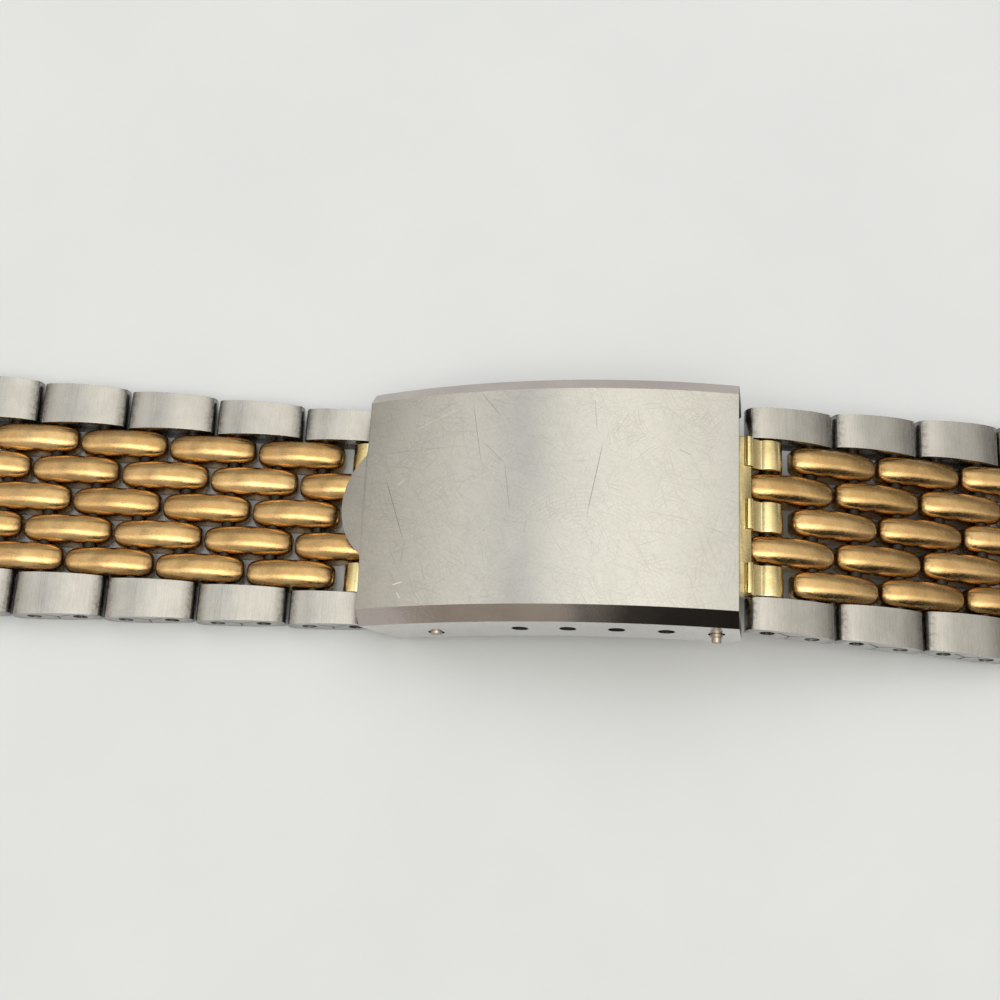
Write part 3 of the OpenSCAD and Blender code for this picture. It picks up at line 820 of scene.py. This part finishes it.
# %% Both halves
for side, pins in PINS.items():
    out = -1 if side == "left" else 1
    taper = GROWTH / sum((b - a).length for a, b in zip(pins, pins[1:]))
    for k in range(ROWS[side]):
        near, mid, far = pins[2 * k:2 * k + 3]
        steel, gold, trio = (f"{side}_{kind}_{k + 1}" for kind in ("steel", "gold", "bead"))
        place = row_matrix(near, mid, middle_y(gold))
        along = (2 * k + 0.5) * PITCH
        parts = [outer_link(place, m, CLASP_HALF + taper * along, taper * out) for m in (1, -1)]
        for end, short in ((-1, FIXED_SHORT), (1, LOOSE_SHORT)):
            half = CLASP_HALF + taper * (along + end * PITCH / 2)
            parts.append(row_pin(end * out * PITCH / 2, half - short, place))
        stand_for(join(steel, parts), steel)
        bead_row(gold, (-1, 1), place)
        bead_row(trio, (-2, 0, 2), row_matrix(mid, far, middle_y(trio)))
choose(bead, link)
bpy.ops.object.delete()

# %% [markdown]
# The cover is pressed from one sheet: an arched top and two walls, with a polished bevel along both
# long edges and a round lip that the thumb lifts. Bending a flat plate would need the bend tool,
# which wants a window. Spinning the section round the middle of the arch gives the same arch
# exactly. A second spin is the hollow inside, and goes a little further, because two blocks that
# end at the same place can leave a thin sheet when one is cut from the other.

# %% Cover blank
COVER_R, COVER_L, COVER_W, COVER_H = 43.0, 25.9, 17.0, 5.6
PLATE_T, WALL_T, BEVEL = 0.8, 0.9, 0.7
SWEEP = 44


def arch(x):
    """Height of the arched top at a place along the cover, under the middle of the arch."""
    return math.sqrt(COVER_R**2 - x * x) - COVER_R


def spun_block(half_width, top, bottom, degrees, corner=0.0):
    """A section with its top corners cut, spun round the middle of the arch."""
    deselect()
    bpy.ops.mesh.primitive_plane_add(size=1, rotation=(0, math.pi / 2, 0))
    piece = bpy.context.object
    piece.scale = (top - bottom, 2 * half_width, 1)
    piece.location = (0, 0, (top + bottom) / 2)
    bpy.ops.object.transform_apply(location=True, rotation=True, scale=True)
    if corner:
        edit(piece, "VERT", lambda co: co.z > top - 0.01)
        bpy.ops.mesh.bevel(offset=corner * math.sqrt(2), segments=1, affect="VERTICES")
    edit(piece, "FACE", all_of)
    angle = math.radians(degrees)
    bpy.ops.transform.rotate(value=-angle / 2, orient_axis="Y", center_override=(0, 0, -COVER_R))
    bpy.ops.mesh.spin(steps=3 * degrees, angle=angle, center=(0, 0, -COVER_R), axis=(0, 1, 0))
    deselect()
    clean(piece)
    return piece


cover = spun_block(COVER_W / 2, 0, -COVER_H, SWEEP, BEVEL)
cut(cover, spun_block(COVER_W / 2 - WALL_T, -PLATE_T, -COVER_H - 1, SWEEP + 6))
print("cover blank:", [round(v, 1) for v in cover.dimensions], "mm")

# %% [markdown]
# Seen from above, the plate is cut to its length with the round lip at one end. Each wall slants
# back at the lip's end and is rounded below at the other, and has five adjusting holes and one for
# the hinge pin. All this could be one long profile, but plain tool shapes are easier to follow:
# a block joined with a cylinder is the outline, wedges and a corner block trim the walls, and a rod
# bores each hole. Then the edges get their roundings, largest first, because a small bevel would
# spoil the edges that a larger one needs, and each face gets its metal by where it lies.

# %% Its outline and lip
LIP_R, LIP_REACH, LIP_FILLET = 4.6, 1.8, 0.9
plan = block(-COVER_L / 2, COVER_L / 2, -10, 10, -30, 10)
deselect()
bpy.ops.mesh.primitive_cylinder_add(vertices=128, radius=LIP_R, depth=30,
                                    location=(-COVER_L / 2 - LIP_REACH + LIP_R, 0, -8))
bpy.ops.object.transform_apply(location=True, rotation=True, scale=True)
cut(plan, bpy.context.object, "UNION")
edit(plan, "EDGE", lambda a, b: max(abs(v.x + COVER_L / 2) for v in (a, b)) < 0.01
     and abs(a.y - b.y) < 0.01 and 3 < abs(a.y) < 4.5 and abs(a.z - b.z) > 5)
bpy.ops.mesh.bevel(offset=LIP_FILLET, segments=5, affect="EDGES")
deselect()
cut(cover, plan, "INTERSECT")
print("with its outline:", [round(v, 1) for v in cover.dimensions], "mm")

# %% Corners and holes
SLANT_X, SLANT_Z, CORNER_R = 1.9, 4.6, 1.0
z_low = arch(COVER_L / 2) - COVER_H
for y0, y1 in ((-9.5, -7), (7, 9.5)):
    wedge = block(-6, 0, y0, y1, -3, 8)
    edit(wedge, "VERT", all_of)
    bpy.ops.transform.rotate(value=math.atan2(SLANT_X, SLANT_Z), orient_axis="Y",
                             center_override=(0, 0, 0))
    bpy.ops.transform.translate(value=(-COVER_L / 2 + SLANT_X, 0, z_low))
    deselect()
    cut(wedge, block(-30, 30, -12, 12, z_low + SLANT_Z, 20))
    cut(cover, wedge)
corner = block(COVER_L / 2 - CORNER_R, COVER_L / 2 + CORNER_R, -12, 12,
               z_low - CORNER_R, z_low + CORNER_R)
cut(corner, rod(CORNER_R, -13, 13, COVER_L / 2 - CORNER_R, z_low + CORNER_R, 64))
cut(cover, corner)

HOLE_R, HOLE_X, HOLE_PITCH, HOLE_DEPTH = 0.58, -1.68, 3.265, 3.24
HINGE_X, HINGE_DEPTH = -7.86, 4.08
HINGE_Z = arch(HINGE_X) - HINGE_DEPTH
HOLES = [(x, arch(x) - HOLE_DEPTH) for x in (HOLE_X + HOLE_PITCH * i for i in range(5))]
for x, z in HOLES + [(HINGE_X, HINGE_Z)]:
    cut(cover, rod(HOLE_R, -12, 12, x, z, 40))
print("holes at x", [round(x, 2) for x, _ in HOLES], "mm")

# %% Its soft edges
edit(cover, "EDGE", lambda a, b: min(a.x, b.x) > COVER_L / 2 - 0.01
     and min(a.z, b.z) > arch(COVER_L / 2) - 0.75)
bpy.ops.mesh.bevel(offset=0.3, segments=4, affect="EDGES", clamp_overlap=True)
deselect()
clean(cover, 0.0005)
edit(cover, "EDGE", lambda a, b: all(abs(abs(v.y) - (COVER_W / 2 - BEVEL)) < 0.01
                                     and abs(v.z - arch(v.x)) < 0.01 for v in (a, b)))
bpy.ops.mesh.bevel(offset=0.12, segments=3, affect="EDGES")
deselect()
round_edges(cover, 0.035, 2, 25)
smooth(cover, 10)
mark_places(cover, "on_cover")
print("cover:", len(cover.data.polygons), "faces")

# %% Its metals
TOP, CUT, WALL, INSIDE = range(4)
for metal in (top_steel, painted_reflection_bevel_steel, painted_light_wall_steel, painted_shade_inner_steel):
    cover.data.materials.append(metal)


def cover_metal(place, normal):
    """Which metal a face of the cover gets, by its place and by how steeply it stands."""
    steep, depth, side = abs(normal.y), arch(place.x) - place.z, abs(place.y)
    if side < COVER_W / 2 - WALL_T + 0.06 and depth > PLATE_T - 0.06:
        return INSIDE
    if side < COVER_W / 2 - 0.12 and steep < 0.3 and depth > 2 * BEVEL:
        return INSIDE
    if steep < 0.45:
        return TOP
    return CUT if steep < 0.9 and depth < 2 * BEVEL else WALL


for face in cover.data.polygons:
    face.material_index = cover_metal(face.center, face.normal)
print("faces per metal:", [sum(f.material_index == k for f in cover.data.polygons)
                           for k in (TOP, CUT, WALL, INSIDE)])

# %% Cover in place
LIFTED = math.radians(11)
low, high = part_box("cover")
hinge = pin_at("cover_lift")
hinge.y = (low.y + high.y) * 500
cover.data.transform(Matrix.Translation(hinge) @ Matrix.Rotation(-LIFTED, 4, "Y")
                     @ Matrix.Translation((-HINGE_X, 0, -HINGE_Z)))
for label, pick, edge in (("least", min, low), ("most", max, high)):
    print(label, [round(pick(v.co[i] for v in cover.data.vertices), 2) for i in range(3)],
          "CAD", [round(c * 1000, 2) for c in edge])
stand_for(cover, "cover")

# %% [markdown]
# The blades, pins, spring bars, end pieces and lug links are exact as CAD made them, only their
# edges are as sharp as a knife's. Modelling them anew would add nothing. Each is copied, its
# triangles are merged back into whole faces, and its sharp edges are rounded a little, because a
# rounded edge catches the light that shows where a real part ends.

# %% Dressed copies of CAD nodes
def dressed(node, metal, width, segments=2):
    original = frame["nodes"][node]
    piece = original.copy()
    piece.data = original.data.copy()
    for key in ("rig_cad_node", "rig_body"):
        if key in piece:
            del piece[key]
    piece.parent = None
    bpy.context.scene.collection.objects.link(piece)
    piece.hide_render = piece.hide_viewport = False
    piece.data.transform(Matrix.Scale(1000, 4))
    piece.data.materials.clear()
    clean(piece, 0.001, 0.2)
    round_edges(piece, width, segments, 28)
    smooth(piece, 20)
    piece.data.materials.append(metal)
    stand_for(piece, node)


for node in ("left_end_piece", "right_end_piece"):
    dressed(node, end_gold, 0.1, 3)
for node in ("lower_blade", "upper_blade"):
    dressed(node, blade_steel, 0.1)
for node in ("cover_pin", "blade_pin", "end_pin", "clasp_bar", "clasp_tip_near", "clasp_tip_far"):
    dressed(node, pin_steel, 0.06)
for side in ROWS:
    dressed(f"{side}_lug_link", link_steel, 0.12, 3)
    for part in ("bar", "tip_near", "tip_far"):
        dressed(f"{side}_lug_{part}", pin_steel, 0.06)

# %% [markdown]
# The bracelet lies on a pale matt sheet, with a faint mottle so that it isn't one flat colour. A
# plane is enough, because the photograph shows only this sheet behind the bracelet.

# %% Floor
deselect()
bpy.ops.mesh.primitive_plane_add(size=3)
floor = bpy.context.object
floor.name = "floor"
paper = bpy.data.materials.new("pale sheet")
paper.use_nodes = True
tree = paper.node_tree
sheet = tree.nodes["Principled BSDF"]
sheet.inputs["Roughness"].default_value = 0.8
sheet.inputs["Specular IOR Level"].default_value = 0.2
mottle = ramp(tree, noise(tree, object_place(tree), 0.05, 3.0, 0.6), 0.3, 0.7)
wire(tree, blend_colour(tree, mottle, (0.655, 0.68, 0.728), (0.675, 0.70, 0.748)),
     sheet.inputs["Base Color"])
floor.data.materials.append(paper)
print("floor:", [round(v, 1) for v in floor.dimensions], "m")

# %% [markdown]
# Metal shows little of its own: it mirrors the room. Lamps and cards could build that room, but
# each one also lights the floor. So the room is drawn as a soft sky, as strips from left to right
# that the cover's arch spreads out: light overhead, a dim bluish strip left of it, which is the
# grey band on the cover, and dimmer towards both sides. Towards the near edge the sky first gets
# brighter, for the streak along each bead, and then dark low down in front, where the photographer
# stands, most of all on the right, where it blackens the cover's near bevel.

# %% Sky from left to right
# Each strip: how far sideways it is, as a slope from straight up, and its colour. Blender doesn't
# sort stops that a script moves: it takes the first one in the list that lies beyond a place, and
# the one before that in the list. So beyond 1.0 the colour fades from the strip at 0.5 to the last
# one, with a small step at 1.0.
SPAN, HORIZON = 2.0, 0.06
SKY = [(-2.0, (0.50, 0.48, 0.46)), (-1.2, (0.60, 0.585, 0.57)), (-0.72, (0.76, 0.75, 0.74)),
       (-0.61, (0.72, 0.72, 0.72)), (-0.53, (0.41, 0.44, 0.49)), (-0.44, (0.43, 0.455, 0.50)),
       (-0.36, (0.82, 0.82, 0.82)), (-0.1, (0.94, 0.935, 0.91)), (1.0, (0.52, 0.51, 0.50)),
       (0.5, (0.72, 0.715, 0.70)), (2.0, (0.36, 0.35, 0.34))]
world = bpy.data.worlds.new("room")
bpy.context.scene.world = world
world.use_nodes = True
tree = world.node_tree
x, y, z = xyz(tree, tree.nodes.new("ShaderNodeTexCoord").outputs["Generated"])
height = maths(tree, "MAXIMUM", z, HORIZON)
sideways = maths(tree, "DIVIDE", x, height)
nearer = maths(tree, "DIVIDE", maths(tree, "MULTIPLY", y, -1.0), height)

strips = tree.nodes.new("ShaderNodeValToRGB")
strips.color_ramp.interpolation = "EASE"
stops = strips.color_ramp.elements
for _ in SKY[1:-1]:
    stops.new(0.5)
for stop, (slope, colour) in zip(stops, SKY):
    stop.position, stop.color = (slope + SPAN) / (2 * SPAN), (*colour, 1)
share = maths(tree, "DIVIDE", maths(tree, "ADD", sideways, SPAN), 2 * SPAN)
wire(tree, share, strips.inputs["Fac"])
print("sky:", len(stops), "strips")

# %% Sky from far to near
STREAK, WARMTH, STRENGTH = 2.0, (1.0, 0.97, 0.87), 1.4
streak = maths(tree, "MULTIPLY", ramp(tree, nearer, -0.05, 0.15),
               ramp(tree, nearer, 0.45, 0.75, 1.0, 0.0),
               ramp(tree, maths(tree, "ABSOLUTE", x), 0.12, 0.5, 1.0, 0.3), STREAK)
far_to_near = maths(tree, "ADD", ramp(tree, nearer, -1.1, -0.42, 0.5, 1.0), streak)
skew = maths(tree, "ADD", x, maths(tree, "MULTIPLY", nearer, 0.02))
front = maths(tree, "MULTIPLY", ramp(tree, nearer, 0.6, 0.95),
              ramp(tree, skew, -0.16, 0.12, 0.32, 0.96), ramp(tree, skew, 0.6, 0.9, 1.0, 0.5))
light = maths(tree, "MULTIPLY", far_to_near, maths(tree, "SUBTRACT", 1.0, front))
lit = vector_maths(tree, "SCALE", strips.outputs["Color"], light)
backdrop = tree.nodes["Background"]
wire(tree, vector_maths(tree, "MULTIPLY", lit, WARMTH), backdrop.inputs["Color"])
backdrop.inputs["Strength"].default_value = STRENGTH
print("sky:", len(tree.nodes), "nodes, strength", STRENGTH)

# %% [markdown]
# One broad lamp far above adds the soft shadow on the near side of the clasp. A small lamp would
# cut a hard one. Its mirror image would burn out the cover, so it is hidden from reflections.

# %% Lamp
LAMP_AT, LAMP_SIZE, LAMP_WATTS = Vector((0.05, 0.27, 0.55)), 0.6, 0.6
deselect()
bpy.ops.object.light_add(type="AREA", location=LAMP_AT)
lamp = bpy.context.object
lamp.name = "broad lamp"
lamp.data.shape, lamp.data.size, lamp.data.energy = "DISK", LAMP_SIZE, LAMP_WATTS
lamp.data.color = (0.95, 1.0, 1.08)
lamp.rotation_euler = (-LAMP_AT).to_track_quat("-Z", "Y").to_euler()
lamp.visible_glossy = False
bpy.context.scene.view_settings.view_transform = "Standard"
print("lamp:", lamp.name, "of", LAMP_WATTS, "W")
